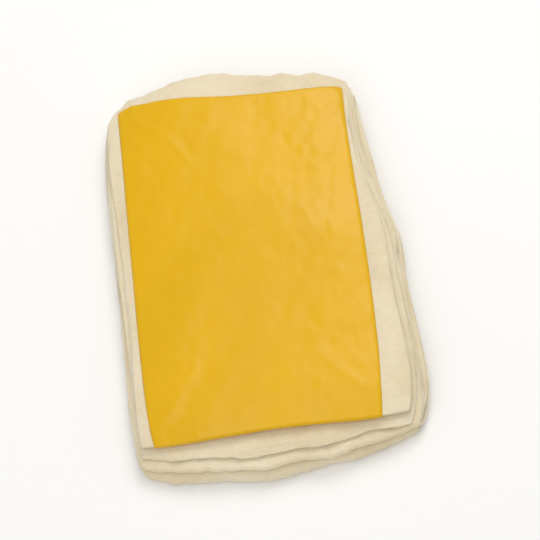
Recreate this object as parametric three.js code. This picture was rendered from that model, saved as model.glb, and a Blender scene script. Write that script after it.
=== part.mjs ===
// Folded ambulance blanket: a soft cream wadding sheet folded into a crowned pack, with a yellow film face.
// Units are millimetres. X runs across the pack, +Y to its closed far end, +Z up, and it lies on Z = 0.
import * as THREE from "three";

// The sheet as cut, and how often it is folded in half each way.
const CUT_WIDTH = 1372;
const CUT_LENGTH = 2032;
const FOLDS_EACH_WAY = 3;
const LAYER_COUNT = 2 ** FOLDS_EACH_WAY;
const STRIP_WIDTH = CUT_WIDTH / LAYER_COUNT;
const LAYER_LENGTH = CUT_LENGTH / LAYER_COUNT;

// Each layer of the pack is the folded strip, whose own eight plies are pressed together.
const LAYER_THICKNESS = 2.5;
const LAYER_GAP = 0.6;
const PITCH = LAYER_THICKNESS + LAYER_GAP;

// The share of its height that the pack loses at the long edges, at the far roll and at the near end.
const SIDE_DROP = 0.34;
const FAR_DROP = 0.2;
const NEAR_DROP = 0.24;
const DROP_POWER = 4;

// Slow lumps in the pack's height: how strong, as a share of it, and how many half waves each way.
const LUMPS = [
  { share: 0.014, across: 1.3, along: 0.9, phase: 0.6 },
  { share: 0.01, across: -0.8, along: 2.1, phase: 2.2 },
  { share: 0.006, across: 2.4, along: 1.7, phase: 4.1 },
];

// Half the pack's length along its middle, where the loose folds reach past the leaves' own length.
const LOOSE_REACH = 8;
const HALF_LENGTH = LAYER_LENGTH / 2 + LOOSE_REACH;

// The outline of the pack's long edges, from the near end to the far end. Each side is given as how far
// it stands out from the strip's own half width: the pack is pinched at its corners and loose at its right.
const SIDES = [
  { along: -142, left: -15, right: -15 },
  { along: -120, left: -2, right: 0 },
  { along: -98, left: 0.4, right: 8 },
  { along: -60, left: 0.3, right: 9.6 },
  { along: -28, left: 0, right: 8.4 },
  { along: 6, left: -0.1, right: 8.2 },
  { along: 30, left: -0.3, right: 2.8 },
  { along: 60, left: -0.6, right: -1 },
  { along: 90, left: -2, right: -3.2 },
  { along: 113, left: -6.4, right: -4.6 },
  { along: 142, left: -21, right: -17 },
];

// The layers from the bottom up: how far each long edge stays inside the outline, and its slow wave.
const LAYERS = [
  { level: 1, leftInset: 3.6, rightInset: 5.5, wave: 0.5, halfWaves: 1.2, phase: 0.4 },
  { level: 2, leftInset: 1.6, rightInset: 3.4, wave: 0.7, halfWaves: 1.7, phase: 2.0 },
  { level: 3, leftInset: 0.2, rightInset: 1.2, wave: 0.6, halfWaves: 1.4, phase: 3.7 },
  { level: 4, leftInset: 1.0, rightInset: 2.2, wave: 0.8, halfWaves: 2.1, phase: 5.1 },
  { level: 5, leftInset: 0.0, rightInset: 0.0, wave: 0.7, halfWaves: 1.5, phase: 0.9 },
  { level: 6, leftInset: 1.8, rightInset: 3.2, wave: 0.9, halfWaves: 1.9, phase: 2.8 },
  { level: 7, leftInset: 3.0, rightInset: 6.4, wave: 0.8, halfWaves: 1.3, phase: 4.4 },
  { level: 8, leftInset: 5.4, rightInset: 9.6, wave: 0.7, halfWaves: 1.6, phase: 1.7 },
];

// Towards the far roll, where the folds hold them together, the layers keep only a share of their insets.
const FAR_INSET_SHARE = 0.35;
const FAR_INSET_START = 45;
const FAR_INSET_END = 118;

// The ends of the leaves, with outward 1 at the far end and -1 at the near end. A fold joins two levels,
// and a free end names one level twice. Past is how far the cloth's end stands past the leaf's own half
// length, before its line. Folds inside one another share a line, so that they stay apart.
const ENDS = [
  { outward: 1, lower: 1, upper: 8, past: 7.5, line: "far" },
  { outward: 1, lower: 2, upper: 7, past: 3.4, line: "far" },
  { outward: 1, lower: 3, upper: 6, past: -1.0, line: "far" },
  { outward: 1, lower: 4, upper: 5, past: -5.2, line: "far" },
  { outward: -1, lower: 1, upper: 4, past: 8.5, line: "bottom" },
  { outward: -1, lower: 2, upper: 3, past: 4.4, line: "bottom" },
  { outward: -1, lower: 5, upper: 6, past: 2.5, line: "middle" },
  { outward: -1, lower: 7, upper: 7, past: -5.0, line: "second" },
  { outward: -1, lower: 8, upper: 8, past: -18, line: "top" },
];

// The uneven lines of those ends: how far each one stands out, from the left edge to the right edge.
const END_LINES = [
  { across: -1, far: -13, bottom: -16, middle: -13, second: -11, top: -4 },
  { across: -0.85, far: -4.6, bottom: -9.3, middle: -8.5, second: -7, top: -1.5 },
  { across: -0.6, far: -0.2, bottom: -5.8, middle: -4.8, second: -4, top: -0.2 },
  { across: -0.35, far: 3.2, bottom: -2.4, middle: -0.8, second: -0.6, top: 0 },
  { across: -0.1, far: 3, bottom: -0.4, middle: 0.6, second: 1.8, top: -0.2 },
  { across: 0.1, far: -1.2, bottom: -1.6, middle: -0.8, second: 0.4, top: 0.4 },
  { across: 0.35, far: -5.4, bottom: -3.2, middle: 0.2, second: 1.2, top: 2 },
  { across: 0.6, far: -8.2, bottom: -5.6, middle: -3, second: -2.4, top: 3.4 },
  { across: 0.8, far: -11.2, bottom: -9.2, middle: -6, second: -3, top: 3 },
  { across: 1, far: -20, bottom: -17, middle: -12, second: -6, top: 1 },
];
const endAt = (level, outward) =>
  ENDS.find((end) => end.outward === outward && (end.lower === level || end.upper === level));
const OUTER_FOLD = endAt(LAYER_COUNT, 1);
const TOP_END = endAt(LAYER_COUNT, -1);
const TOP_LINE = -(LAYER_LENGTH / 2 + TOP_END.past);

// The levels of the strip's leaves in order, from the free end below the top leaf to the top leaf itself.
const ROUTE = [7, 2, 3, 6, 5, 4, 1, 8];

// The top leaf's free end stands up a little, so that the film can pass round it.
const END_LIFT = 2.0;
const END_LIFT_HOLD = 14;
const END_LIFT_RUN = 40;

// The yellow film face, which lies turned a little on the top leaf and is folded round its free end.
const FILM_THICKNESS = 1.0;
const FILM_CLEARANCE = 0.55;
const FILM_OFFSET = FILM_CLEARANCE + FILM_THICKNESS / 2;
const FILM_TUCK = 11;

// The film's long edges, from its far edge at down 0 to the top leaf's free end at down 1.
const FILM_SIDES = [
  { down: 0, left: -69.5, right: 74.5 },
  { down: 0.15, left: -71, right: 72.9 },
  { down: 0.5, left: -73.6, right: 71.8 },
  { down: 0.8, left: -75, right: 69 },
  { down: 0.95, left: -74.2, right: 65.8 },
  { down: 1, left: -73, right: 64.3 },
];

// The film's far edge, whose left corner is rounded off.
const FILM_FAR_LINE = [
  { across: -1, along: 114 },
  { across: -0.93, along: 119.2 },
  { across: -0.8, along: 121 },
  { across: -0.45, along: 119 },
  { across: 0, along: 114 },
  { across: 0.45, along: 111 },
  { across: 0.8, along: 109.8 },
  { across: 0.94, along: 109 },
  { across: 1, along: 106 },
];

// How finely the surfaces are cut.
const WADDING_STEPS = { across: 16, edge: 4, leaf: 11, turn: 7, end: 3 };
const FILM_STEPS = { across: 18, edge: 2, leaf: 15, turn: 6, tuck: 2 };
const ACROSS_POWER = 0.65;

const WADDING_COLOUR = 0xe6d9b8;
const WADDING_ROUGHNESS = 0.95;
const FILM_COLOUR = 0xe8b800;
const FILM_ROUGHNESS = 0.4;

const { lerp, clamp, smoothstep } = THREE.MathUtils;

// Spaces even steps from 0 to 1 closer together towards both ends.
const bunched = (share) => (1 - Math.cos(Math.PI * share)) / 2;

// A smooth curve through a table's rows: the value of one column at a place in the ordering column.
function curveAt(rows, ordering, place, column) {
  const last = rows.length - 1;
  const within = clamp(place, rows[0][ordering], rows[last][ordering]);
  let row = 0;
  while (row < last - 1 && within > rows[row + 1][ordering]) row += 1;
  const from = rows[row];
  const to = rows[row + 1];
  const before = rows[Math.max(row - 1, 0)];
  const after = rows[Math.min(row + 2, last)];
  const run = to[ordering] - from[ordering];
  const t = (within - from[ordering]) / run;
  const slopeFrom = ((to[column] - before[column]) / (to[ordering] - before[ordering])) * run;
  const slopeTo = ((after[column] - from[column]) / (after[ordering] - from[ordering])) * run;
  return (
    (2 * t ** 3 - 3 * t ** 2 + 1) * from[column] +
    (t ** 3 - 2 * t ** 2 + t) * slopeFrom +
    (3 * t ** 2 - 2 * t ** 3) * to[column] +
    (t ** 3 - t ** 2) * slopeTo
  );
}

// The outline of one side at a place along the pack.
const outlineAt = (along, side) => STRIP_WIDTH / 2 + curveAt(SIDES, "along", along, side);

// The place across the whole pack at an x, from -1 at its left edge to 1 at its right edge.
function acrossAt(x, along) {
  const left = -outlineAt(along, "left");
  const right = outlineAt(along, "right");
  return (2 * (x - left)) / (right - left) - 1;
}

// How far a layer's long edge lies from the pack's middle line.
function layerEdge(layer, along, side) {
  const inset = side === "left" ? layer.leftInset : layer.rightInset;
  const kept = lerp(1, FAR_INSET_SHARE, smoothstep(along, FAR_INSET_START, FAR_INSET_END));
  const phase = side === "left" ? layer.phase : layer.phase + Math.PI / 2;
  const wave = layer.wave * Math.sin((layer.halfWaves * Math.PI * along) / HALF_LENGTH + phase);
  return outlineAt(along, side) - (inset + wave) * kept;
}

// The share of its full height that the pack keeps at a place: crowned, and a little lumpy.
function crownAt(across, along) {
  const v = clamp(along / HALF_LENGTH, -1, 1);
  const endDrop = v > 0 ? FAR_DROP : NEAR_DROP;
  const sideShare = 1 - SIDE_DROP * Math.min(Math.abs(across), 1) ** DROP_POWER;
  const endShare = 1 - endDrop * Math.abs(v) ** DROP_POWER;
  const turnAt = (lump) => Math.PI * (lump.across * across + lump.along * v) + lump.phase;
  return sideShare * endShare + LUMPS.reduce((sum, lump) => sum + lump.share * Math.sin(turnAt(lump)), 0);
}

// The height of a layer's middle before the pack is crowned.
const levelHeight = (level) => LAYER_THICKNESS / 2 + (level - 1) * PITCH;

// The line where a fold or a free end stops, at a place across the pack.
function reachAt(end, across) {
  const length = LAYER_LENGTH / 2 + end.past + curveAt(END_LINES, "across", across, end.line);
  return end.outward * length;
}

// How far a layer stands up at a place: only the top one does, at its free end.
function liftAt(level, across, along) {
  if (level !== LAYER_COUNT) return 0;
  const inward = along - reachAt(TOP_END, across) - END_LIFT_HOLD;
  return END_LIFT * (1 - smoothstep(inward / END_LIFT_RUN, 0, 1));
}

const foldRadius = (fold) => ((fold.upper - fold.lower) * PITCH) / 2;

// Where the round part of a fold starts. A free end has none.
function turnStart(end, across) {
  const isFree = end.lower === end.upper;
  const depth = isFree ? 0 : foldRadius(end) + LAYER_THICKNESS / 2;
  return reachAt(end, across) - end.outward * depth;
}

// A station of the strip on a straight leaf. Fraction runs from 0 at the near end to 1 at the far end.
function leafStation(level, fraction, travel, thicknessShare = 1, endShift = 0) {
  const near = endAt(level, -1);
  const far = endAt(level, 1);
  const place = (across) => {
    const along = lerp(turnStart(near, across), turnStart(far, across), fraction) + endShift;
    return { along, height: levelHeight(level), lift: liftAt(level, across, along) };
  };
  return { place, normal: { along: 0, up: travel }, thicknessShare, layers: [level, level], share: 0 };
}

// A station of the strip inside a fold. Swept is 0 at the fold's lower level and half a turn at its upper.
function turnStation(fold, swept, travelUp) {
  const radius = foldRadius(fold);
  const middle = (levelHeight(fold.lower) + levelHeight(fold.upper)) / 2;
  const place = (across) => {
    const along = turnStart(fold, across) + fold.outward * radius * Math.sin(swept);
    return { along, height: middle - radius * Math.cos(swept), lift: 0 };
  };
  const normal = { along: -travelUp * Math.sin(swept), up: travelUp * fold.outward * Math.cos(swept) };
  const share = (1 - Math.cos(swept)) / 2;
  return { place, normal, thicknessShare: 1, layers: [fold.lower, fold.upper], share };
}

// The rounded stations of a free end at the near end, from its thin last line to the full thickness.
function freeEndStations(level, travel) {
  const stations = [];
  for (let step = 1; step <= WADDING_STEPS.end; step += 1) {
    const angle = ((Math.PI / 2) * step) / WADDING_STEPS.end;
    const endShift = (LAYER_THICKNESS / 2) * (1 - Math.cos(angle));
    stations.push(leafStation(level, 0, travel, Math.sin(angle), endShift));
  }
  return stations;
}

// The stations of the whole strip, leaf by leaf and fold by fold, from one free end to the other.
function stripStations() {
  const stations = [];
  ROUTE.forEach((level, leaf) => {
    const outward = leaf % 2 === 0 ? 1 : -1;
    const isFirst = leaf === 0;
    const isLast = leaf === ROUTE.length - 1;
    if (isFirst) stations.push(...freeEndStations(level, outward));
    const firstStep = isFirst ? 1 : 0;
    const lastStep = isLast ? WADDING_STEPS.leaf - 1 : WADDING_STEPS.leaf;
    for (let step = firstStep; step <= lastStep; step += 1) {
      const fraction = bunched(step / WADDING_STEPS.leaf);
      stations.push(leafStation(level, outward > 0 ? fraction : 1 - fraction, outward));
    }
    if (isLast) {
      stations.push(...freeEndStations(level, outward).reverse());
      return;
    }
    const fold = endAt(level, outward);
    const travelUp = fold.lower === level ? 1 : -1;
    for (let step = 1; step < WADDING_STEPS.turn; step += 1) {
      const swept = (Math.PI * step) / WADDING_STEPS.turn;
      stations.push(turnStation(fold, travelUp > 0 ? swept : Math.PI - swept, travelUp));
    }
  });
  return stations;
}

// The points round a flat strip's section: the place across from -1 to 1, the rise as a share of half the
// thickness, and the bulge past the edge as a share of the same. The edges are round.
// The points lie closer together towards the long edges, where the crown curves most.
function stripSection(acrossSteps, edgeSteps) {
  const points = [];
  for (let step = 0; step <= acrossSteps; step += 1) {
    const even = (2 * step) / acrossSteps - 1;
    points.push({ across: Math.sign(even) * Math.abs(even) ** ACROSS_POWER, rise: 1, bulge: 0 });
  }
  for (let step = 1; step < edgeSteps; step += 1) {
    const angle = (Math.PI * step) / edgeSteps;
    points.push({ across: 1, rise: Math.cos(angle), bulge: Math.sin(angle) });
  }
  const opposite = ({ across, rise, bulge }) => ({ across: -across, rise: -rise, bulge: -bulge });
  return points.concat(points.map(opposite));
}

// Skins a row of rings, each listed as positions, into one closed body. A flat ring at either end is
// closed between its two faces, starting from the point in the middle of its left edge.
function skinRings(rings, leftMiddle) {
  const count = rings[0].length;
  const indices = [];
  for (let ring = 0; ring < rings.length - 1; ring += 1) {
    for (let j = 0; j < count; j += 1) {
      const here = ring * count + j;
      const beside = ring * count + ((j + 1) % count);
      indices.push(here, beside, here + count, beside, beside + count, here + count);
    }
  }
  for (const ring of [0, rings.length - 1]) {
    const corner = (k) => ring * count + ((leftMiddle + k + count) % count);
    for (let k = 0; k < count / 2; k += 1) {
      const faces = [];
      if (k + 1 < count / 2) faces.push([corner(k), corner(-k - 1), corner(k + 1)]);
      if (k > 0) faces.push([corner(k), corner(-k), corner(-k - 1)]);
      for (const face of faces) indices.push(...(ring === 0 ? face : face.reverse()));
    }
  }
  const geometry = new THREE.BufferGeometry();
  geometry.setAttribute("position", new THREE.Float32BufferAttribute(rings.flat(2), 3));
  geometry.setIndex(indices);
  geometry.computeVertexNormals();
  return geometry;
}

// Sweeps a flat strip's section along its stations. Settle gives the position of a section point there.
function sweepStrip(stations, steps, settle) {
  const section = stripSection(steps.across, steps.edge);
  const rings = stations.map((station) => section.map((point) => settle(station, point)));
  return skinRings(rings, 2 * steps.across + steps.edge + steps.edge / 2);
}

// A point of the wadding, in the crowned pack. All layers take their height and their end lines from the
// same places across the pack, so they never cross.
function settleWadding(station, point) {
  const radius = (LAYER_THICKNESS / 2) * station.thicknessShare;
  const roughly = station.place(point.across).along;
  const edgeAt = (side) => {
    const [lower, upper] = station.layers.map((level) => layerEdge(LAYERS[level - 1], roughly, side));
    return lerp(lower, upper, station.share);
  };
  const left = LAYER_THICKNESS / 2 - edgeAt("left");
  const right = edgeAt("right") - LAYER_THICKNESS / 2;
  const x = lerp(left, right, (point.across + 1) / 2) + point.bulge * radius;
  const spot = station.place(acrossAt(x, roughly));
  const along = spot.along + station.normal.along * point.rise * radius;
  const height = spot.height + station.normal.up * point.rise * radius;
  return [x, along, height * crownAt(acrossAt(x, along), along) + spot.lift];
}

function waddingGeometry() {
  return sweepStrip(stripStations(), WADDING_STEPS, settleWadding);
}

// The top leaf under the film at a place: where it ends, and the heights of its upper face and its middle.
// At the far corners the leaf already turns down into the roll.
function topLeafAt(x, along) {
  const across = acrossAt(x, along);
  const crown = crownAt(across, along);
  const lift = liftAt(LAYER_COUNT, across, along);
  const rollRadius = foldRadius(OUTER_FOLD) + LAYER_THICKNESS / 2 + FILM_OFFSET;
  const pastStart = clamp(along - turnStart(OUTER_FOLD, across), 0, rollRadius);
  const rollDrop = rollRadius - Math.sqrt(rollRadius ** 2 - pastStart ** 2);
  const middle = crown * (levelHeight(LAYER_COUNT) - rollDrop) + lift;
  const upper = middle + (crown * LAYER_THICKNESS) / 2;
  return { end: reachAt(TOP_END, across), upper, middle };
}

// A station of the film. Down is 0 on the top leaf and 1 at its end; turned is the angle round the end,
// and tucked the distance back under the leaf.
function filmStation({ down, turned = 0, tucked = 0 }) {
  const place = (across) => {
    const side = (across + 1) / 2;
    const xAt = (share) =>
      lerp(curveAt(FILM_SIDES, "down", share, "left"), curveAt(FILM_SIDES, "down", share, "right"), side);
    const x = xAt(down);
    const farAlong = curveAt(FILM_FAR_LINE, "across", across, "along");
    const roundStart = topLeafAt(xAt(1), TOP_LINE).end + LAYER_THICKNESS / 2;
    const along = lerp(farAlong, roundStart, down) + tucked;
    const leaf = topLeafAt(x, along);
    const halfLeaf = leaf.upper - leaf.middle;
    return {
      x,
      along: along - (LAYER_THICKNESS / 2 + FILM_OFFSET) * Math.sin(turned),
      height: leaf.middle + (halfLeaf + FILM_OFFSET) * Math.cos(turned),
    };
  };
  return { place, normal: { along: Math.sin(turned), up: -Math.cos(turned) } };
}

// The film's path: along the top leaf from the far edge, round its free end and back a little under it.
function filmStations() {
  const stations = [];
  for (let step = 0; step <= FILM_STEPS.leaf; step += 1) {
    stations.push(filmStation({ down: bunched(step / FILM_STEPS.leaf) }));
  }
  for (let step = 1; step <= FILM_STEPS.turn; step += 1) {
    stations.push(filmStation({ down: 1, turned: (Math.PI * step) / FILM_STEPS.turn }));
  }
  for (let step = 1; step <= FILM_STEPS.tuck; step += 1) {
    stations.push(filmStation({ down: 1, turned: Math.PI, tucked: (FILM_TUCK * step) / FILM_STEPS.tuck }));
  }
  return stations;
}

// A point of the film. Its long edges are blunt and its faces follow the top leaf.
function settleFilm(station, point) {
  const radius = FILM_THICKNESS / 2;
  const spot = station.place(point.across);
  return [
    spot.x + point.bulge * radius,
    spot.along + station.normal.along * point.rise * radius,
    spot.height + station.normal.up * point.rise * radius,
  ];
}

function filmGeometry() {
  return sweepStrip(filmStations(), FILM_STEPS, settleFilm);
}

// A named piece of the blanket with its own material.
function piece(name, geometry, colour, roughness) {
  const material = new THREE.MeshStandardMaterial({ color: colour, roughness, metalness: 0 });
  const mesh = new THREE.Mesh(geometry, material);
  mesh.name = name;
  return mesh;
}

const blanket = new THREE.Group();
blanket.add(piece("wadding", waddingGeometry(), WADDING_COLOUR, WADDING_ROUGHNESS));
blanket.add(piece("film_face", filmGeometry(), FILM_COLOUR, FILM_ROUGHNESS));

// The origin is the middle of the pack's outline, on the surface that it lies on.
const outline = new THREE.Box3().setFromObject(blanket);
const middle = outline.getCenter(new THREE.Vector3());
blanket.position.set(-middle.x, -middle.y, -outline.min.z);

export default blanket;
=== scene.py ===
import math

import bpy
import numpy as np
from mathutils import Matrix, Vector
from mathutils.bvhtree import BVHTree


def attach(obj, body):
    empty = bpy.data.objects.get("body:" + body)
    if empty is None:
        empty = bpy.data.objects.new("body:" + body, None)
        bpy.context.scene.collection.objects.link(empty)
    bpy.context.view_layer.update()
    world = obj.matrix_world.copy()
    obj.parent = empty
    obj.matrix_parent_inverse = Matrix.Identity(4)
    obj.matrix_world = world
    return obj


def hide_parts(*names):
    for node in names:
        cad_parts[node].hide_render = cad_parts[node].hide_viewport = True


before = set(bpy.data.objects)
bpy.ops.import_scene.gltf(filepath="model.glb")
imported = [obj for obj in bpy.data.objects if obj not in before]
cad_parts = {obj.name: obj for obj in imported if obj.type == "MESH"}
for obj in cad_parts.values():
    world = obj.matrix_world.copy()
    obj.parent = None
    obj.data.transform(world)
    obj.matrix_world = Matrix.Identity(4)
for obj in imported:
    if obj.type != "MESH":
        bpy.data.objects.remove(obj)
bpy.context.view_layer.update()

# Lengths are in millimetres until the meshes are made. X runs across the pack, +Y to its closed far end.
METRE = 0.001

# What is added to the strip's own places, so that the origin is the middle of the pack's outline.
SHIFT = np.array([-4.2607, -1.5718, 0.0])

# The folded strip: eight layers, each of eight plies pressed together.
LAYER_COUNT = 8
STRIP_WIDTH = 171.5
LAYER_LENGTH = 254.0
LAYER_THICKNESS = 2.5
HALF_LAYER = LAYER_THICKNESS / 2
LAYER_GAP = 0.6
PITCH = LAYER_THICKNESS + LAYER_GAP

# The share of its height that the pack loses at the long edges, at the far roll and at the near end.
SIDE_DROP = 0.34
FAR_DROP = 0.2
NEAR_DROP = 0.24
DROP_POWER = 4

# Slow lumps in the pack's height: share of it, half waves across and along, phase.
LUMPS = np.array([
    [0.014, 1.3, 0.9, 0.6],
    [0.010, -0.8, 2.1, 2.2],
    [0.006, 2.4, 1.7, 4.1],
])

# Half the length that the pack's slow shapes run over: half a layer, and an allowance for the rolls.
ROLL_ALLOWANCE = 8.0
HALF_LENGTH = LAYER_LENGTH / 2 + ROLL_ALLOWANCE

# The outline of the long edges: place along the pack, and how far the left and the right side stand out
# from the strip's own half width.
SIDES = np.array([
    [-142, -15, -15],
    [-120, -2, 0],
    [-98, 0.4, 8],
    [-60, 0.3, 9.6],
    [-28, 0, 8.4],
    [6, -0.1, 8.2],
    [30, -0.3, 2.8],
    [60, -0.6, -1],
    [90, -2, -3.2],
    [113, -6.4, -4.6],
    [142, -21, -17],
])

# The layers from the bottom up: left inset, right inset, and the depth, half waves and phase of the slow
# wave of the long edges.
LAYERS = np.array([
    [3.6, 5.5, 0.5, 1.2, 0.4],
    [1.6, 3.4, 0.7, 1.7, 2.0],
    [0.2, 1.2, 0.6, 1.4, 3.7],
    [1.0, 2.2, 0.8, 2.1, 5.1],
    [0.0, 0.0, 0.7, 1.5, 0.9],
    [1.8, 3.2, 0.9, 1.9, 2.8],
    [3.0, 6.4, 0.8, 1.3, 4.4],
    [5.4, 9.6, 0.7, 1.6, 1.7],
])

# Towards the far roll, where the folds hold them together, the layers keep only a share of their insets.
FAR_INSET_SHARE = 0.35
FAR_INSET_START = 45.0
FAR_INSET_END = 118.0

# The ends of the leaves, outward 1 at the far end and -1 at the near end. A fold joins two levels. Past is
# how far the cloth's end stands past the leaf's own half length, before its line.
END_NAMES = ("outward", "lower", "upper", "past", "line")
ENDS = [
    dict(zip(END_NAMES, row))
    for row in (
        (1, 1, 8, 7.5, "far"),
        (1, 2, 7, 3.4, "far"),
        (1, 3, 6, -1.0, "far"),
        (1, 4, 5, -5.2, "far"),
        (-1, 1, 4, 8.5, "bottom"),
        (-1, 2, 3, 4.4, "bottom"),
        (-1, 5, 6, 2.5, "middle"),
        (-1, 7, 7, -5.0, "second"),
        (-1, 8, 8, -18, "top"),
    )
]

# The uneven lines of those ends: place across, and how far each one stands out there.
END_LINE_NAMES = ("far", "bottom", "middle", "second", "top")
END_LINES = np.array([
    [-1, -13, -16, -13, -11, -4],
    [-0.85, -4.6, -9.3, -8.5, -7, -1.5],
    [-0.6, -0.2, -5.8, -4.8, -4, -0.2],
    [-0.35, 3.2, -2.4, -0.8, -0.6, 0],
    [-0.1, 3, -0.4, 0.6, 1.8, -0.2],
    [0.1, -1.2, -1.6, -0.8, 0.4, 0.4],
    [0.35, -5.4, -3.2, 0.2, 1.2, 2],
    [0.6, -8.2, -5.6, -3, -2.4, 3.4],
    [0.8, -11.2, -9.2, -6, -3, 3],
    [1, -20, -17, -12, -6, 1],
])

# The levels of the strip's leaves in order, from the free end below the top leaf to the top leaf itself.
ROUTE = (7, 2, 3, 6, 5, 4, 1, 8)

# The top leaf's free end stands up a little, so that the film can pass round it.
END_LIFT = 2.0
END_LIFT_HOLD = 14.0
END_LIFT_RUN = 40.0

# The film's long edges, left and right, from its far edge at 0 to the top leaf's free end at 1.
FILM_SIDES = np.array([
    [0, -71.2, 74.5],
    [0.15, -71.5, 72.9],
    [0.5, -73.6, 71.8],
    [0.8, -75, 69],
    [0.95, -74.2, 65.8],
    [1, -73, 64.3],
])

# The film's far edge, from its left corner to its right one: place across, and place along.
FILM_FAR_LINE = np.array([
    [-1, 118.6],
    [-0.97, 120.2],
    [-0.92, 120.9],
    [-0.8, 121],
    [-0.45, 119],
    [0, 114],
    [0.45, 111],
    [0.8, 109.8],
    [0.94, 109.4],
    [0.98, 109.2],
    [1, 108],
])

# How far the film is tucked back under the top leaf, its gap over the leaf, and what it keeps clear of
# the leaf as it passes round the leaf's end.
FILM_TUCK = 11.0
FILM_CLEARANCE = 0.15
FILM_TURN_ROOM = 0.22

# How thick the film is: its body, the least that a wrinkle leaves of it, its outermost edge, the share of
# its body that is left in the tuck, and how far in from the long edges and from the far edge it is whole.
FILM_BODY = 0.72
FILM_LEAST_BODY = 0.3
FILM_EDGE = 0.12
FILM_TUCK_SHARE = 0.45
FILM_SHOULDER = 2.2
FILM_FAR_SHOULDER = 1.2

# How far the film sags where it hangs over a long edge of the top leaf, and over what width.
OVERHANG_SAG = 1.9
OVERHANG_RUN = 7.5

# A height well above the pack, from which the film's ground is looked for.
RAY_HEIGHT = 100.0

# The photograph's camera: its angles in degrees, its clip range in metres, its other lengths in millimetres
# and its target in the pack's own frame.
CAMERA = {
    "azimuth": -7.8,
    "elevation": 67.9,
    "roll": -17.1,
    "distance": 1069.0,
    "target": (10.3, -0.3, 0.0),
    "view_angle": 18.0,
    "clip": (0.05, 20.0),
}

# The lights: name, place and size in metres, power in watts, colour.
LIGHTS = [
    ("key", (0.45, 0.85, 1.25), 0.9, 10.5, (1.0, 0.98, 0.95)),
    ("fill", (-0.7, -1.0, 1.0), 1.2, 4.6, (1.0, 0.99, 0.97)),
    ("top", (0.0, -0.1, 1.7), 1.0, 5.0, (1.0, 1.0, 1.0)),
]
WORLD_STRENGTH = 0.5
WORLD_COLOUR = (1.0, 0.99, 0.97, 1)

# Linear colours of the cloth, the film and the floor, from dark to light.
CREAMS = [(0.2, (0.69, 0.57, 0.37)), (0.5, (0.77, 0.66, 0.465)), (0.8, (0.83, 0.74, 0.56))]
YELLOWS = [(0.3, (0.715, 0.405, 0.003)), (0.7, (0.765, 0.435, 0.004))]
FLOOR_COLOUR = (0.92, 0.92, 0.91, 1)

# How strongly a ply's own tint changes its shade, and the range that most of a noise's values lie in.
TINT_STRENGTH = 0.4
NOISE_RANGE = (0.3, 0.7)

# Half the floor's width, and how far it lies below the pack, in metres.
FLOOR_HALF = 15.0
FLOOR_DROP = 0.0002

# The plies that show at the long edges and the free ends of one layer.
PLIES = 4

# How finely the surfaces are cut. A spacing below 1 brings lines closer together at the long edges.
PLY_STEPS = 4
EDGE_STEPS = PLIES * PLY_STEPS
FACE_STEPS = 54
FACE_SPACING = 0.72
TOP_LEAF_STEPS = 96
LEAF_STEPS = 44
OUTER_TURN_STEPS = 26
TURN_STEPS = 10
NOSE_STEPS = 10
FILM_ACROSS_STEPS = 72
FILM_SPACING = 0.7
FILM_ALONG_STEPS = 120
FILM_TURN_STEPS = 12
FILM_TUCK_STEPS = 4


def smooth(share):
    """An even step from 0 to 1, soft at both ends."""
    held = np.clip(share, 0.0, 1.0)
    return held * held * (3 - 2 * held)


def end_at(level, outward):
    """The fold or the free end where a leaf stops, at the far or at the near end."""
    return next(end for end in ENDS if end["outward"] == outward and level in (end["lower"], end["upper"]))


# The large fold round the far end, and the top leaf's free end, with its place along the middle line.
OUTER_FOLD = end_at(LAYER_COUNT, 1)
TOP_END = end_at(LAYER_COUNT, -1)
TOP_LINE = -(LAYER_LENGTH / 2 + TOP_END["past"])


def wave_set(seed, count, shortest, longest, lean=1.0):
    """Random long-crested waves for a natural unevenness. A lean above 1 stretches them along the pack."""
    random = np.random.default_rng(seed)
    length = shortest * (longest / shortest) ** random.random(count)
    turn = random.random(count) * math.pi
    phase = random.random(count) * 2 * math.pi
    size = (length / longest) ** 0.5
    size /= np.sqrt((size**2).sum() / 2)
    step = 2 * math.pi / length
    return np.stack([size, step * np.cos(turn), step * np.sin(turn) / lean, phase], axis=1)


def uneven(x, y, waves):
    """The sum of some waves at places, about 1 high at its strongest."""
    total = np.zeros(np.broadcast(x, y).shape)
    for size, step_x, step_y, phase in waves:
        total = total + size * np.sin(step_x * x + step_y * y + phase)
    return total * 0.5


def curve_at(table, place, column):
    """A smooth curve through a table's rows, in one column, at places in its first column."""
    places, values = table[:, 0], table[:, column]
    last = len(places) - 1
    within = np.clip(place, places[0], places[last])
    row = np.clip(np.searchsorted(places, within) - 1, 0, last - 1)
    before, after = np.maximum(row - 1, 0), np.minimum(row + 2, last)
    run = places[row + 1] - places[row]
    share = (within - places[row]) / run
    slope_from = (values[row + 1] - values[before]) / (places[row + 1] - places[before]) * run
    slope_to = (values[after] - values[row]) / (places[after] - places[row]) * run
    curve = (2 * share**3 - 3 * share**2 + 1) * values[row] + (share**3 - 2 * share**2 + share) * slope_from
    return curve + (3 * share**2 - 2 * share**3) * values[row + 1] + (share**3 - share**2) * slope_to


def outline_at(along, side):
    """How far the pack's outline lies from its middle line, on side 0, the left, or 1, the right."""
    return STRIP_WIDTH / 2 + curve_at(SIDES, along, 1 + side)


def across_at(x, along):
    """The place across the whole pack, from -1 at its left edge to 1 at its right edge."""
    left = -outline_at(along, 0)
    right = outline_at(along, 1)
    return 2 * (x - left) / (right - left) - 1


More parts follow.
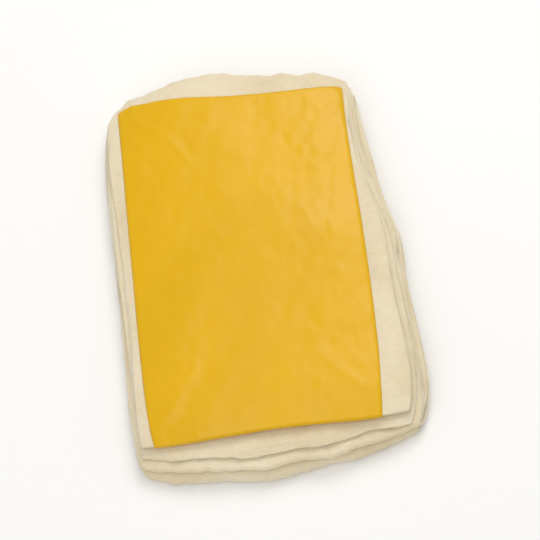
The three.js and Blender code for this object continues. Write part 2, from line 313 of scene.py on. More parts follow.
def layer_edge(level, along, side):
    """How far a layer's own long edge lies from the middle line, on side 0, the left, or 1, the right."""
    left_inset, right_inset, depth, half_waves, phase = LAYERS[level - 1]
    inset = right_inset if side else left_inset
    loose = 1 - smooth((along - FAR_INSET_START) / (FAR_INSET_END - FAR_INSET_START))
    kept = FAR_INSET_SHARE + (1 - FAR_INSET_SHARE) * loose
    start = phase + side * math.pi / 2
    wave = depth * np.sin(half_waves * math.pi * along / HALF_LENGTH + start)
    return outline_at(along, side) - (inset + wave) * kept


def crown_at(across, along):
    """The share of its full height that the pack keeps at a place."""
    down = np.clip(along / HALF_LENGTH, -1, 1)
    end_drop = np.where(down > 0, FAR_DROP, NEAR_DROP)
    side_share = 1 - SIDE_DROP * np.minimum(np.abs(across), 1) ** DROP_POWER
    end_share = 1 - end_drop * np.abs(down) ** DROP_POWER
    lumps = sum(
        share * np.sin(math.pi * (turns * across + runs * down) + phase)
        for share, turns, runs, phase in LUMPS
    )
    return side_share * end_share + lumps


def level_height(level):
    """How high the middle of a layer lies before the pack is crowned."""
    return HALF_LAYER + (level - 1) * PITCH


def reach_at(end, across):
    """The line where a fold or a free end stops."""
    line = curve_at(END_LINES, across, 1 + END_LINE_NAMES.index(end["line"]))
    return end["outward"] * (LAYER_LENGTH / 2 + end["past"] + line)


def lift_at(level, across, along):
    """How far the top leaf stands up towards its free end. The other leaves don't."""
    if level != LAYER_COUNT:
        return np.zeros_like(along)
    inward = along - reach_at(TOP_END, across) - END_LIFT_HOLD
    return END_LIFT * (1 - smooth(inward / END_LIFT_RUN))


def fold_radius(fold):
    """The radius of a fold, at the middle of its cloth."""
    return (fold["upper"] - fold["lower"]) * PITCH / 2


def turn_start(end, across):
    """Where the round part of a fold starts. A free end has none."""
    depth = 0.0 if end["lower"] == end["upper"] else fold_radius(end) + HALF_LAYER
    return reach_at(end, across) - end["outward"] * depth


# Soft creases and ridges on the top leaf and the far roll, listed one by one: from one point to another,
# their half width, their height and how far they bow. Past the far line, Y counts the way round the roll.
TOP_CREASES = [
    (-83, 62, -79, 126, 2.6, 0.6, 2.0),
    (-72, 150, -60, 112, 2.6, 1.2, 2.0),
    (-57, 156, -50, 120, 3.0, -0.9, -1.5),
    (-38, 160, -34, 124, 3.0, 1.0, 1.5),
    (-17, 162, -20, 121, 3.6, -0.8, 1.0),
    (6, 163, 2, 126, 3.0, 0.9, -1.2),
    (23, 160, 28, 118, 3.4, -0.8, 1.4),
    (37, 156, 36, 114, 3.0, 0.95, 1.0),
    (50, 152, 47, 117, 2.2, -1.2, 0.8),
    (62, 150, 58, 110, 3.0, 0.85, -1.0),
    (24, 135, 78, 130, 2.0, -0.9, 1.6),
    (-60, 138, -22, 136, 2.2, -0.6, -1.2),
    (84, 92, 68, 122, 1.9, -0.7, 1.6),
    (84, 30, 80, 96, 2.8, 0.6, -1.8),
    (88, -96, 90, -20, 3.0, 0.55, 1.5),
    (-80, -84, -82, 10, 2.8, 0.5, -1.4),
    (76, -104, 84, -40, 2.0, -0.4, 1.0),
    (70, -86, 90, -70, 1.8, 0.35, 1.0),
    (74, -22, 92, -46, 2.2, -0.35, -1.2),
    (76, 30, 90, 4, 2.0, 0.35, 1.4),
    (77, 26, 71, -98, 2.5, -1.3, 0.8),
    (83, -10, 81, -92, 2.4, 0.9, -0.8),
    (-77, 70, -79, -40, 2.2, -0.6, 0.5),
    (-86, -20, -74, -34, 1.7, -0.3, 0.6),
    (-86, 44, -73, 26, 1.8, 0.3, -0.8),
]

# The same on the bare near margins of the lower leaves, running out to their ends.
NEAR_CREASES = [
    (-76, -100, -72, -130, 1.9, 0.9, 0.8),
    (-56, -102, -48, -136, 2.4, 1.1, 1.2),
    (-38, -102, -36, -138, 1.7, 0.6, -1.2),
    (-16, -102, -18, -140, 2.6, 1.0, 1.0),
    (4, -102, 10, -140, 1.8, 0.8, -1.2),
    (24, -104, 28, -138, 2.4, 0.7, 1.5),
    (44, -104, 38, -136, 2.2, 1.1, -1.0),
    (60, -106, 66, -132, 1.8, 0.8, 1.2),
    (78, -104, 76, -128, 1.8, 0.8, -0.6),
]

# Wrinkles of the film itself, in the same way, over the leaf that it lies on.
FILM_CREASES = [
    (-62, 112, -28, 70, 2.4, 0.5, 3.0),
    (-66, 96, -44, 40, 2.0, -0.32, 3.0),
    (74, 98, 40, 60, 2.6, 0.42, -3.0),
    (70, 76, 52, 22, 2.2, -0.3, -2.0),
    (-68, -96, -36, -52, 2.8, 0.45, -3.0),
    (62, -98, 30, -60, 2.6, 0.45, 3.0),
    (-8, -104, -2, -58, 3.4, 0.35, 2.0),
    (14, 108, 8, 66, 3.2, 0.34, -2.0),
    (-40, 4, 26, 14, 3.8, 0.26, 4.0),
    (-20, -30, 46, -18, 4.2, -0.22, -4.0),
    (-52, 34, 18, 44, 3.6, 0.2, 3.0),
    (-66, 116, -14, 58, 0.9, 0.2, -1.5),
    (73, 104, 22, 62, 0.9, 0.18, 2.0),
    (-72, -100, -24, -34, 1.0, 0.18, 2.0),
    (62, -106, 18, -38, 0.9, 0.2, -2.0),
    (30, 108, 34, 20, 1.1, -0.14, 1.5),
    (-46, 60, -42, -62, 1.2, 0.14, -2.0),
    (52, 34, 50, -66, 1.1, 0.13, 1.5),
]

# How far a crease runs on past its two points, and over what length it fades, as shares of its length.
CREASE_OVERRUN = 0.12
CREASE_FADE = 0.3

# Slow swellings of each surface, and the finer crinkle of the pressed cloth.
TOP_SWELL = wave_set(11, 12, 34.0, 90.0, 1.4)
TOP_CRINKLE = wave_set(12, 26, 7.0, 20.0, 1.3)
STEP_SWELL = wave_set(13, 14, 16.0, 44.0)
FILM_SWELL = wave_set(14, 16, 14.0, 46.0)
TINT_WAVES = wave_set(15, 12, 18.0, 90.0)
TOP_SWELL_HEIGHT = 0.55
TOP_CRINKLE_HEIGHT = 0.22
STEP_SWELL_HEIGHT = 0.55
FILM_SWELL_HEIGHT = 0.16

# How much each layer swells towards its neighbours.
LAYER_SWELL = 0.13

# How far the underside of the top leaf may sink towards the layer below it.
UNDERSIDE_SLACK = 0.3

# Up round the far roll, how fast the relief of its outer side grows, and where its inner side's starts.
ROLL_RELIEF_GROWTH = 1.6
ROLL_INNER_START = 0.6

# The lower layers with a bare near margin, and the layer that covers each one up to it.
COVERED_BY = {7: 8, 6: 7, 4: 6}

# How far past the covering layer's end a bare margin starts to swell, over what run, and how much it
# swells as a whole. Its swellings are this much shorter along the pack than across it.
MARGIN_START = 1.0
MARGIN_RUN = 7.0
MARGIN_RISE = 0.4
MARGIN_SQUEEZE = 1.6

# The ripples of the near ends of the lower layers, from the line where they start.
NEAR_RIPPLE = wave_set(16, 14, 6.0, 26.0)
NEAR_RIPPLE_DEPTH = 0.9
NEAR_RIPPLE_START = -96.0
NEAR_RIPPLE_RUN = 14.0

# The cut plies at the free end below the top leaf: how far each ends before the last one, how uneven its
# line is, and how far it drops there, over what run.
PLY_END_WAVES = wave_set(17, 10, 9.0, 40.0)
PLY_END_LINES = (1.0, 2.5, 4.2)
PLY_END_UNEVEN = 1.1
PLY_END_DROP = 0.27
PLY_END_SOFT = 0.45

# The share of that leaf's length, behind its free end, that is cut more finely, and into how many lines.
FINE_END_SHARE = 0.03
FINE_END_STEPS = 22

# The share of a leaf's length that its rounded free end takes.
NOSE_SHARE = 0.0068

# How deep the line between two plies is at a free end: below the top leaf, and at the top leaf's own.
NOSE_DENT = 0.28
TOP_NOSE_DENT = 0.08

# How far the waves and creases move on from one layer, fold, ply or side to the next, so that no two
# are alike.
MARGIN_WAVE_SHIFT = 37.0
MARGIN_CREASE_SHIFT = 9.0
LAYER_SWELL_SHIFT = 211.0
RIPPLE_SHIFT = 53.0
PLY_END_SHIFT = 47.0
PLY_TINT_SHIFT = 61.0
SIDE_TINT_SHIFT = 17.0

# How far single plies reach past each other at the long edges, and how deep the line between two is.
PLY_SPREAD = 0.75
PLY_GROOVE = 0.5
PLY_WAVES = {
    (side, ply): wave_set(100 + 10 * ply + side, 9, 26.0, 150.0) for side in (-1, 1) for ply in range(PLIES)
}

# How round a layer's plies stand together at the long edges, how far they stand back, and how round each
# single one is: 1 is a half circle, and less is squarer.
PLY_STACK_ROUNDNESS = 0.9
PLY_STAND_BACK = 0.25
PLY_ROUNDNESS = 0.7


def crease_height(x, y, rows):
    """The height of some soft creases at places."""
    total = np.zeros(np.broadcast(x, y).shape)
    for x_from, y_from, x_to, y_to, width, height, bow in rows:
        run = math.hypot(x_to - x_from, y_to - y_from)
        unit_x, unit_y = (x_to - x_from) / run, (y_to - y_from) / run
        down = (x - x_from) * unit_x + (y - y_from) * unit_y
        share = down / run
        aside = (y - y_from) * unit_x - (x - x_from) * unit_y
        aside = aside - bow * 4 * share * (1 - share)
        from_start = smooth((share + CREASE_OVERRUN) / CREASE_FADE)
        to_stop = smooth((1 + CREASE_OVERRUN - share) / CREASE_FADE)
        total = total + height * np.exp(-((aside / width) ** 2)) * (from_start * to_stop)
    return total


def top_relief(x, way):
    """How far the top leaf and the far roll stand off their even shape. Way goes on round the roll."""
    swell = TOP_SWELL_HEIGHT * uneven(x, way, TOP_SWELL)
    crinkle = TOP_CRINKLE_HEIGHT * uneven(x, way, TOP_CRINKLE)
    return swell + crinkle + crease_height(x, way, TOP_CREASES)


def step_relief(level, x, along, across):
    """How far the bare near margin of a lower layer stands off its even shape."""
    if level not in COVERED_BY:
        return np.zeros_like(x)
    cover = reach_at(end_at(COVERED_BY[level], -1), across)
    bare = smooth((cover - MARGIN_START - along) / MARGIN_RUN)
    waves = uneven(x + MARGIN_WAVE_SHIFT * level, along * MARGIN_SQUEEZE, STEP_SWELL)
    swell = STEP_SWELL_HEIGHT * (MARGIN_RISE + waves)
    return bare * (swell + crease_height(x + MARGIN_CREASE_SHIFT * (level - 6), along, NEAR_CREASES))


def near_ripple(level, x, along):
    """How far the near end of a lower layer moves in or out at a place. Nested folds move together."""
    if level == LAYER_COUNT:
        return np.zeros_like(x)
    row = END_LINE_NAMES.index(end_at(level, -1)["line"])
    near = smooth((NEAR_RIPPLE_START - along) / NEAR_RIPPLE_RUN)
    return NEAR_RIPPLE_DEPTH * near * uneven(x + RIPPLE_SHIFT * row, 0.0, NEAR_RIPPLE)


def ply_end_drop(x, inward):
    """How much the cut plies of the free end below the top leaf drop, at a distance in from that end."""
    total = np.zeros_like(x)
    for ply, line in enumerate(PLY_END_LINES):
        ends = line + PLY_END_UNEVEN * uneven(x, PLY_END_SHIFT * ply, PLY_END_WAVES)
        total = total + PLY_END_DROP * (1 - smooth((inward - ends) / PLY_END_SOFT + 0.5))
    return total


def spread(steps, spacing):
    """Places from -1 to 1, closer together towards both ends where the spacing is below 1."""
    even = np.linspace(-1, 1, steps + 1)
    return np.sign(even) * np.abs(even) ** spacing


def strip_section():
    """The section's points: place across and rise, both from -1 to 1, side, ply, and angle round the ply."""
    face = spread(FACE_STEPS, FACE_SPACING)
    edge = []
    for step in range(1, EDGE_STEPS):
        ply, within = divmod(step, PLY_STEPS)
        angle = math.pi * within / PLY_STEPS
        rise = 1 - 2 * (ply + (1 - math.cos(angle)) / 2) / PLIES
        edge.append((rise, ply, angle))
    rows = [(across, 1.0, 0, 0, 0.0) for across in face]
    rows += [(1.0, rise, 1, ply, angle) for rise, ply, angle in edge]
    rows += [(across, -1.0, 0, 0, 0.0) for across in -face]
    rows += [(-1.0, rise, -1, ply, angle) for rise, ply, angle in reversed(edge)]
    return rows


SECTION = strip_section()
ACROSS, RISE, SIDE, PLY, PLY_ANGLE = (np.array(column) for column in zip(*SECTION))


def ply_reach(side, ply, travelled):
    """How far a ply's folded edge stands out at a place along the strip."""
    middle = 1 - 2 * (ply + 0.5) / PLIES
    stack = math.sqrt(1 - (PLY_STACK_ROUNDNESS * middle) ** 2) - PLY_STAND_BACK
    return HALF_LAYER * stack + PLY_SPREAD * float(uneven(travelled, 0.0, PLY_WAVES[(side, ply)]))


def edge_bulge(travelled):
    """How far each point of the section stands out at the long edges, at a place along the strip."""
    bulge = np.zeros(len(SECTION))
    for side in (-1, 1):
        crest = [ply_reach(side, ply, travelled) for ply in range(PLIES)]
        valley = [min(pair) - PLY_GROOVE for pair in zip(crest, crest[1:])]
        valley = [0.0, *valley, 0.0]
        for ply in range(PLIES):
            mine = (SIDE == side) & (PLY == ply)
            share = (1 - np.cos(PLY_ANGLE[mine])) / 2
            ground = valley[ply] * (1 - share) + valley[ply + 1] * share
            bulge[mine] = ground + (crest[ply] - ground) * np.sin(PLY_ANGLE[mine]) ** PLY_ROUNDNESS
    return bulge * SIDE


# A station is one line across the strip. Its place tells, for places across the whole pack, how far along
# it runs, how high before the crown, how far it is lifted, and its way on round the far roll.
def leaf_station(level, fraction, travel, thick=1.0, shift=0.0):
    """A line across the strip on a straight leaf."""
    near, far = end_at(level, -1), end_at(level, 1)

    def place(across):
        start, stop = turn_start(near, across), turn_start(far, across)
        along = start + (stop - start) * fraction + shift
        return along, np.full_like(along, level_height(level)), lift_at(level, across, along), along

    return {"place": place, "normal": (0.0, travel), "thick": thick, "levels": (level, level), "share": 0.0}


def turn_station(fold, swept, travel_up):
    """A line across the strip inside a fold. Swept is 0 at the lower level and half a turn at the upper."""
    radius = fold_radius(fold)
    middle = (level_height(fold["lower"]) + level_height(fold["upper"])) / 2

    def place(across):
        start = turn_start(fold, across)
        along = start + fold["outward"] * radius * math.sin(swept)
        way = start + (radius + HALF_LAYER) * (math.pi - swept)
        return along, np.full_like(along, middle - radius * math.cos(swept)), np.zeros_like(along), way

    return {
        "place": place,
        "normal": (-travel_up * math.sin(swept), travel_up * fold["outward"] * math.cos(swept)),
        "thick": 1.0,
        "levels": (fold["lower"], fold["upper"]),
        "share": (1 - math.cos(swept)) / 2,
    }


def nose_stations(level, travel):
    """The lines round a free end, from its thin last line to the full thickness, with a dent at each ply."""
    stations = []
    depth = TOP_NOSE_DENT if level == LAYER_COUNT else NOSE_DENT
    for step in range(1, NOSE_STEPS + 1):
        angle = math.pi / 2 * step / NOSE_STEPS
        rise = math.sin(angle)
        dent = depth * (0.5 + 0.5 * math.cos(rise * PLIES * math.pi)) * (1 - rise**3)
        stations.append(leaf_station(level, 0.0, travel, rise, HALF_LAYER * (1 - math.cos(angle)) + dent))
    return stations


def leaf_fractions(steps, has_free_start, has_free_stop):
    """The places of a leaf's lines from 0 to 1, closer together near both ends and behind a free start."""
    shares = [step / steps for step in range(steps + 1)]
    spaced = [0.5 * share + 0.25 * (1 - math.cos(math.pi * share)) for share in shares]
    if has_free_start:
        run = FINE_END_SHARE - NOSE_SHARE
        fine = [NOSE_SHARE + run * step / FINE_END_STEPS for step in range(FINE_END_STEPS)]
        spaced = fine + [fraction for fraction in spaced if fraction >= FINE_END_SHARE]
    if has_free_stop:
        spaced = [fraction for fraction in spaced if fraction <= 1 - NOSE_SHARE]
    return spaced


def strip_stations():
    """The lines across the whole strip, leaf by leaf and fold by fold."""
    stations = []
    for leaf, level in enumerate(ROUTE):
        outward = 1 if leaf % 2 == 0 else -1
        is_first, is_last = leaf == 0, leaf == len(ROUTE) - 1
        if is_first:
            stations += nose_stations(level, outward)
        steps = TOP_LEAF_STEPS if level == LAYER_COUNT else LEAF_STEPS
        for fraction in leaf_fractions(steps, is_first, is_last):
            stations.append(leaf_station(level, fraction if outward > 0 else 1 - fraction, outward))
        if is_last:
            stations += reversed(nose_stations(level, outward))
            return stations
        fold = end_at(level, outward)
        travel_up = 1 if fold["lower"] == level else -1
        turn_steps = OUTER_TURN_STEPS if fold is OUTER_FOLD else TURN_STEPS
        for step in range(1, turn_steps):
            swept = math.pi * step / turn_steps
            stations.append(turn_station(fold, swept if travel_up > 0 else math.pi - swept, travel_up))
    return stations


def strip_edge(station, along, side):
    """How far the strip's edge lies from the middle line. In a fold it passes between two levels."""
    lower, upper = station["levels"]
    share = station["share"]
    return layer_edge(lower, along, side) * (1 - share) + layer_edge(upper, along, side) * share


def top_push(station, x, way):
    """How far outward the points of the top leaf and the far roll move. The inner side sinks less."""
    lower, upper = station["levels"]
    outer_growth, inner_growth = 1.0, 1.0
    if lower != upper:
        outer_growth = smooth(station["share"] * ROLL_RELIEF_GROWTH)
        inner_growth = smooth((station["share"] - ROLL_INNER_START) / (1 - ROLL_INNER_START))
    outer = top_relief(x, way) * outer_growth
    inner = np.maximum(outer, -UNDERSIDE_SLACK) * inner_growth
    outer_side = (1 - RISE) / 2
    return outer * outer_side + inner * (1 - outer_side)


def settle(station, travelled):
    """The positions of the section's points at one station, in the crowned pack."""
    lower, upper = station["levels"]
    thick = station["thick"]
    roughly = station["place"](ACROSS)[0]
    left = HALF_LAYER - strip_edge(station, roughly, 0)
    right = strip_edge(station, roughly, 1) - HALF_LAYER
    x = left + (right - left) * (ACROSS + 1) / 2 + edge_bulge(travelled) * thick
    along, height, lift, way = station["place"](across_at(x, roughly))
    normal_along, normal_up = station["normal"]
    swollen = 0.5 + 0.5 * uneven(x, way + LAYER_SWELL_SHIFT * upper, STEP_SWELL)
    reach = RISE * (HALF_LAYER * thick + LAYER_SWELL * swollen * np.abs(RISE) * thick)
    along = along + normal_along * reach
    height = height + normal_up * reach
    across = across_at(x, along)
    z = height * crown_at(across, along) + lift
    if lower == upper == LAYER_COUNT - 1:
        inward = along - reach_at(end_at(upper, -1), across)
        z = z - ply_end_drop(x, inward) * np.clip(RISE * normal_up, 0, 1) * thick
    along = along + near_ripple(upper, x, along)
    if upper == LAYER_COUNT:
        push = top_push(station, x, way)
        along = along - normal_along * push
        z = z - normal_up * push
    else:
        upward = 1.0 if lower == upper else smooth(2 * station["share"] - 1)
        z = z + upward * step_relief(upper, x, along, across)
    return np.stack([x, along, np.maximum(z, 0.0)], axis=1)


def wadding_shape():
    """The wadding's points, ring by ring, and for each the way along the strip."""
    stations = strip_stations()
    middle = np.zeros(1)
    centres = [np.ravel(station["place"](middle)[:2]) for station in stations]
    steps = [0.0] + [float(np.linalg.norm(there - here)) for here, there in zip(centres, centres[1:])]
    travelled = np.cumsum(steps)
    rings = [settle(station, way) for station, way in zip(stations, travelled)]
    return np.concatenate(rings), np.repeat(travelled, len(SECTION)), len(stations)


def end_cap(corner):
    """The faces that close a flat end, between the corners of its ring from one side's middle on."""
    half = len(corner) // 2
    cap = [(corner[0], corner[-1], corner[1])]
    for spot in range(1, half - 1):
        cap.append((corner[spot], corner[-spot], corner[-spot - 1], corner[spot + 1]))
    cap.append((corner[half - 1], corner[half + 1], corner[half]))
    return cap


def skin(rings, count, left_middle):
    """The faces of a row of rings as one closed body, with its two flat ends closed between their faces."""
    faces = []
    for ring in range(rings - 1):
        for spot in range(count):
            here, beside = ring * count + spot, ring * count + (spot + 1) % count
            faces.append((here, beside, beside + count, here + count))
    for ring in (0, rings - 1):
        cap = end_cap([ring * count + (left_middle + spot) % count for spot in range(count)])
        faces += cap if ring == 0 else [tuple(reversed(face)) for face in cap]
    return faces


def film_profile(side, from_far, width):
    """The share of its full thickness that the film has, which is round at its far and long edges."""
    from_edge = (1 - np.abs(2 * side - 1)) * width / 2
    shoulder = np.sqrt(1 - (1 - np.clip(from_edge / FILM_SHOULDER, 0, 1)) ** 2)
    far_shoulder = math.sqrt(1 - (1 - min(from_far / FILM_FAR_SHOULDER, 1)) ** 2)
    return shoulder * far_shoulder


def leaf_top(x, along):
    """The height of the top leaf's upper face, where its even shape also goes on past its own edges."""
    across = across_at(x, along)
    radius = fold_radius(OUTER_FOLD) + HALF_LAYER
    past = np.clip(along - turn_start(OUTER_FOLD, across), 0, radius)
    drop = radius - np.sqrt(radius**2 - past**2)
    level = level_height(LAYER_COUNT) + HALF_LAYER + LAYER_SWELL / 2 - drop
    return level * crown_at(across, along) + lift_at(LAYER_COUNT, across, along) + top_relief(x, along)


def film_ground(x, along, wadding_tree):
    """What the film lies on: the wadding's real top, or where it hangs over its edge, a little sag."""
    past_left = -x - layer_edge(LAYER_COUNT, along, 0)
    past_right = x - layer_edge(LAYER_COUNT, along, 1)
    sag = OVERHANG_SAG * smooth(np.maximum(past_left, past_right) / OVERHANG_RUN)
    even = leaf_top(x, along) - sag
    down = Vector((0, 0, -1))
    hits = [wadding_tree.ray_cast(Vector((*spot, RAY_HEIGHT)), down)[0] for spot in zip(x, along)]
    real = np.array([0.0 if hit is None else hit.z for hit in hits])
    return np.maximum(even, real)


def film_x(down, side):
    """The film's places across, for sides from 0 to 1 between its two long edges."""
    left, right = (float(curve_at(FILM_SIDES, down, column)) for column in (1, 2))
    return left + (right - left) * side


def film_line(lower, upper):
    """One line of the film: along its inner face, and back along its outer one."""
    return np.concatenate([np.stack(lower, axis=1), np.stack(upper, axis=1)[::-1]])


def film_turn_line(step, x, along, middle, leaf_half, body):
    """A line of the film round the top leaf's free end, or past that turn, tucked back under the leaf."""
    turned = math.pi * min(step / FILM_TURN_STEPS, 1)
    tucked = FILM_TUCK * max(step - FILM_TURN_STEPS, 0) / FILM_TUCK_STEPS
    kept = FILM_TUCK_SHARE + (1 - FILM_TUCK_SHARE) * math.cos(turned / 2) ** 2
    thick = FILM_EDGE + (body - FILM_EDGE) * kept
    faces = []
    for offset in (np.full_like(thick, FILM_CLEARANCE), FILM_CLEARANCE + thick):
        out = (HALF_LAYER + offset) * math.sin(turned)
        faces.append((x, along - out + tucked, middle + (leaf_half + offset) * math.cos(turned)))
    return film_line(*faces)


def film_shape(wadding_tree):
    """The film's points, line by line, on the wadding's real top and round the top leaf's free end."""
    across = spread(FILM_ACROSS_STEPS, FILM_SPACING)
    side = (across + 1) / 2
    far_along = curve_at(FILM_FAR_LINE, across, 1)
    near_across = across_at(film_x(1.0, side), TOP_LINE)
    near_along = reach_at(TOP_END, near_across) + HALF_LAYER
    length = float(np.mean(far_along - near_along))
    lines = []
    for step in range(FILM_ALONG_STEPS + 1):
        share = step / FILM_ALONG_STEPS
        down = 0.5 * share + 0.5 * (1 - math.cos(math.pi * share)) / 2
        x = film_x(down, side)
        along = far_along + (near_along - far_along) * down
        under = film_ground(x, along, wadding_tree) + FILM_CLEARANCE
        profile = film_profile(side, down * length, float(x[-1] - x[0]))
        relief = FILM_SWELL_HEIGHT * uneven(x, along, FILM_SWELL) + crease_height(x, along, FILM_CREASES)
        body = FILM_EDGE + np.maximum(FILM_BODY + relief, FILM_LEAST_BODY) * profile
        lines.append(film_line((x, along, under), (x, along, under + body)))
    leaf_half = (HALF_LAYER + FILM_TURN_ROOM) * crown_at(near_across, TOP_LINE)
    middle = under - FILM_CLEARANCE - leaf_half
    for step in range(1, FILM_TURN_STEPS + FILM_TUCK_STEPS + 1):
        lines.append(film_turn_line(step, x, along, middle, leaf_half, body))
    return np.concatenate(lines), len(lines)


def make_object(name, points, faces, material):
    """A smooth mesh object from points in millimetres of the unshifted pack."""
    mesh = bpy.data.meshes.new(name)
    mesh.from_pydata(((points + SHIFT) * METRE).tolist(), [], faces)
    mesh.polygons.foreach_set("use_smooth", [True] * len(mesh.polygons))
    mesh.materials.append(material)
    mesh.update()
    piece = bpy.data.objects.new(name, mesh)
    bpy.context.scene.collection.objects.link(piece)
    return piece


def add_cloth_places(piece, x, travelled, depth, tint):
    """Keeps each point's place on the cloth itself, and a tint, for the material to read."""
    places = piece.data.attributes.new("cloth", "FLOAT_VECTOR", "POINT")
    places.data.foreach_set("vector", (np.stack([x, travelled, depth], axis=1) * METRE).ravel())
    tints = piece.data.attributes.new("tint", "FLOAT", "POINT")
    tints.data.foreach_set("value", tint)


def new_material(name):
    """A material and its shader."""
    material = bpy.data.materials.new(name)
    material.use_nodes = True
    return material, material.node_tree.nodes["Principled BSDF"]


def set_inputs(node, values):
    """Sets some of a node's inputs by their names."""
    for name, value in values.items():
        node.inputs[name].default_value = value


def noise_node(tree, vector, scale, detail, roughness, distortion):
    node = tree.nodes.new("ShaderNodeTexNoise")
    set_inputs(node, {"Scale": scale, "Detail": detail, "Roughness": roughness, "Distortion": distortion})
    tree.links.new(vector, node.inputs["Vector"])
    return node.outputs["Fac"]


def stretched(tree, vector, scale):
    """Places scaled by their own number each way, for a noise that is longer one way."""
    node = tree.nodes.new("ShaderNodeMapping")
    set_inputs(node, {"Scale": scale})
    tree.links.new(vector, node.inputs["Vector"])
    return node.outputs["Vector"]


def ramp_node(tree, value, stops):
    node = tree.nodes.new("ShaderNodeValToRGB")
    ramp = node.color_ramp
    ramp.elements[0].position, ramp.elements[0].color = stops[0][0], (*stops[0][1], 1)
    ramp.elements[1].position, ramp.elements[1].color = stops[-1][0], (*stops[-1][1], 1)
    for position, colour in stops[1:-1]:
        ramp.elements.new(position).color = (*colour, 1)
    tree.links.new(value, node.inputs["Fac"])
    return node.outputs["Color"]


def ranged(tree, noise, low, high):
    """A noise whose usual values are moved to a range of their own."""
    node = tree.nodes.new("ShaderNodeMapRange")
    names = ("From Min", "From Max", "To Min", "To Max")
    set_inputs(node, dict(zip(names, (*NOISE_RANGE, low, high))))
    tree.links.new(noise, node.inputs["Value"])
    return node.outputs["Result"]


def bump_node(tree, height, strength, distance, normal=None):
    node = tree.nodes.new("ShaderNodeBump")
    set_inputs(node, {"Strength": strength, "Distance": distance})
    tree.links.new(height, node.inputs["Height"])
    if normal is not None:
        tree.links.new(normal, node.inputs["Normal"])
    return node.outputs["Normal"]


def math_node(tree, operation, first, second):
    node = tree.nodes.new("ShaderNodeMath")
    node.operation = operation
    for socket, value in zip(node.inputs, (first, second)):
        if isinstance(value, (int, float)):
            socket.default_value = value
        else:
            tree.links.new(value, socket)
    return node.outputs[0]


def attribute_node(tree, name, output):
    node = tree.nodes.new("ShaderNodeAttribute")
    node.attribute_name = name
    return node.outputs[output]


def wadding_material():
    """Soft cream wadding: matt, faintly mottled, with a crepe crinkle and short fibres."""
    material, shader = new_material("wadding_cloth")
    tree = material.node_tree
    cloth = attribute_node(tree, "cloth", "Vector")
    tint = attribute_node(tree, "tint", "Fac")
    mottle = noise_node(tree, cloth, scale=20, detail=3, roughness=0.5, distortion=0.4)
    clump = noise_node(tree, cloth, scale=420, detail=4, roughness=0.6, distortion=0.3)
    shade = math_node(tree, "ADD", mottle, math_node(tree, "MULTIPLY", tint, TINT_STRENGTH))
    shade = math_node(tree, "ADD", shade, ranged(tree, clump, -0.08, 0.08))
    colour = ramp_node(tree, shade, CREAMS)
    tree.links.new(colour, shader.inputs["Base Color"])
    fibre_places = stretched(tree, cloth, (1500, 2300, 1500))
    fibre = noise_node(tree, fibre_places, scale=1, detail=4, roughness=0.7, distortion=0.6)
    crepe_places = stretched(tree, cloth, (150, 720, 150))
    crepe = noise_node(tree, crepe_places, scale=1, detail=3, roughness=0.55, distortion=0.5)
    crumple = noise_node(tree, cloth, scale=75, detail=3, roughness=0.5, distortion=0.4)
    normal = bump_node(tree, crumple, strength=0.55, distance=0.0016)
    normal = bump_node(tree, crepe, strength=0.6, distance=0.0005, normal=normal)
    normal = bump_node(tree, fibre, strength=0.6, distance=0.0002, normal=normal)
    tree.links.new(normal, shader.inputs["Normal"])
    tree.links.new(ranged(tree, fibre, 0.84, 0.98), shader.inputs["Roughness"])
    set_inputs(shader, {
        "Specular IOR Level": 0.25,
        "Sheen Weight": 0.25,
        "Sheen Roughness": 0.5,
        "Subsurface Weight": 0.15,
        "Subsurface Radius": (0.004, 0.0025, 0.0012),
        "Subsurface Scale": 1.0,
    })
    return material


def film_material():
    """Smooth yellow plastic film with a satin face, a faint emboss and soft handling crinkles."""
    material, shader = new_material("yellow_film")
    tree = material.node_tree
    cloth = attribute_node(tree, "cloth", "Vector")
    mottle = noise_node(tree, cloth, scale=16, detail=3, roughness=0.5, distortion=0.4)
    colour = ramp_node(tree, mottle, YELLOWS)
    tree.links.new(colour, shader.inputs["Base Color"])
    emboss = tree.nodes.new("ShaderNodeTexVoronoi")
    set_inputs(emboss, {"Scale": 1400})
    tree.links.new(cloth, emboss.inputs["Vector"])
    drape = noise_node(tree, cloth, scale=42, detail=2, roughness=0.4, distortion=0.2)
    strain_places = stretched(tree, cloth, (170, 24, 100))
    strain = noise_node(tree, strain_places, scale=1, detail=2, roughness=0.4, distortion=0.3)
    pucker = noise_node(tree, cloth, scale=260, detail=3, roughness=0.5, distortion=0.3)
    normal = bump_node(tree, drape, strength=0.5, distance=0.0016)
    normal = bump_node(tree, strain, strength=0.2, distance=0.0007, normal=normal)
    normal = bump_node(tree, pucker, strength=0.2, distance=0.0002, normal=normal)
    normal = bump_node(tree, emboss.outputs["Distance"], strength=0.2, distance=0.00008, normal=normal)
    tree.links.new(normal, shader.inputs["Normal"])
    tree.links.new(ranged(tree, mottle, 0.3, 0.4), shader.inputs["Roughness"])
    set_inputs(shader, {"Specular IOR Level": 0.28})
    return material


def floor_material():
    """Pale and matt."""
    material, shader = new_material("pale_floor")
    set_inputs(shader, {"Base Color": FLOOR_COLOUR, "Roughness": 0.9, "Specular IOR Level": 0.1})
    return material


def build_wadding():
    """The wadding as one strip with rounded folds, whose plies show at its long edges."""
    points, travelled, rings = wadding_shape()
    count = len(SECTION)
    faces = skin(rings, count, count - EDGE_STEPS // 2)
    piece = make_object("wadding_pack", points, faces, wadding_material())
    tint_rows = np.tile(PLY * PLY_TINT_SHIFT + SIDE * SIDE_TINT_SHIFT, rings)
    tint = uneven(travelled, tint_rows, TINT_WAVES) * np.tile(np.abs(SIDE), rings)
    add_cloth_places(piece, points[:, 0], travelled, np.tile(RISE * HALF_LAYER, rings), tint)
    return piece, BVHTree.FromPolygons(points.tolist(), faces)


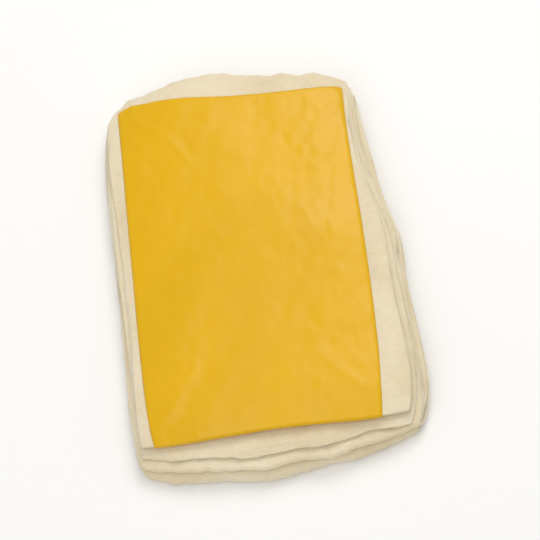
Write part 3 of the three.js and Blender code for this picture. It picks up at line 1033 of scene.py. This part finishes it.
def build_film(wadding_tree):
    """The film on the top leaf, folded round its free end."""
    points, rings = film_shape(wadding_tree)
    faces = skin(rings, 2 * (FILM_ACROSS_STEPS + 1), 0)
    piece = make_object("film_panel", points, faces, film_material())
    add_cloth_places(piece, points[:, 0], points[:, 1], points[:, 2], np.zeros(len(points)))
    return piece


def build_floor():
    """The pale floor that the pack lies on, which is no part of it."""
    mesh = bpy.data.meshes.new("floor")
    low, high = -FLOOR_HALF, FLOOR_HALF
    mesh.from_pydata([(low, low, 0), (high, low, 0), (high, high, 0), (low, high, 0)], [], [(0, 1, 2, 3)])
    mesh.materials.append(floor_material())
    floor = bpy.data.objects.new("floor", mesh)
    floor.location.z = -FLOOR_DROP
    bpy.context.scene.collection.objects.link(floor)


def add_camera():
    """The camera at the photograph's own place, angle and turn."""
    azimuth, elevation, roll = (math.radians(CAMERA[name]) for name in ("azimuth", "elevation", "roll"))
    back = Vector((
        -math.sin(azimuth) * math.cos(elevation),
        -math.cos(azimuth) * math.cos(elevation),
        math.sin(elevation),
    ))
    level_right = Vector((math.cos(azimuth), -math.sin(azimuth), 0))
    level_up = back.cross(level_right)
    right = math.cos(roll) * level_right + math.sin(roll) * level_up
    up = -math.sin(roll) * level_right + math.cos(roll) * level_up
    target = (Vector(CAMERA["target"]) + Vector(SHIFT)) * METRE
    turn = Matrix((right, up, back)).transposed().to_4x4()
    data = bpy.data.cameras.new("camera")
    data.angle = math.radians(CAMERA["view_angle"])
    data.clip_start, data.clip_end = CAMERA["clip"]
    camera = bpy.data.objects.new("camera", data)
    camera.matrix_world = Matrix.Translation(target + back * CAMERA["distance"] * METRE) @ turn
    bpy.context.scene.collection.objects.link(camera)
    bpy.context.scene.camera = camera


def add_area_light(name, place, size, power, colour):
    data = bpy.data.lights.new(name, "AREA")
    data.shape = "DISK"
    data.size, data.energy, data.color = size, power, colour
    light = bpy.data.objects.new(name, data)
    light.location = place
    light.rotation_mode = "QUATERNION"
    light.rotation_quaternion = (-Vector(place)).to_track_quat("-Z", "Y")
    bpy.context.scene.collection.objects.link(light)


def add_lights():
    """Soft studio light: a broad key from the far right, a weak fill from the near left, and pale air."""
    for row in LIGHTS:
        add_area_light(*row)
    world = bpy.data.worlds.new("studio")
    world.use_nodes = True
    background = world.node_tree.nodes["Background"]
    background.inputs["Color"].default_value = WORLD_COLOUR
    background.inputs["Strength"].default_value = WORLD_STRENGTH
    bpy.context.scene.world = world
    bpy.context.scene.view_settings.view_transform = "Standard"


add_camera()
wadding, wadding_tree = build_wadding()
film = build_film(wadding_tree)

for piece, node, slot in ((wadding, "wadding", "wadding"), (film, "film_face", "film")):
    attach(piece, "root")
    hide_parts(node)

build_floor()
add_lights()
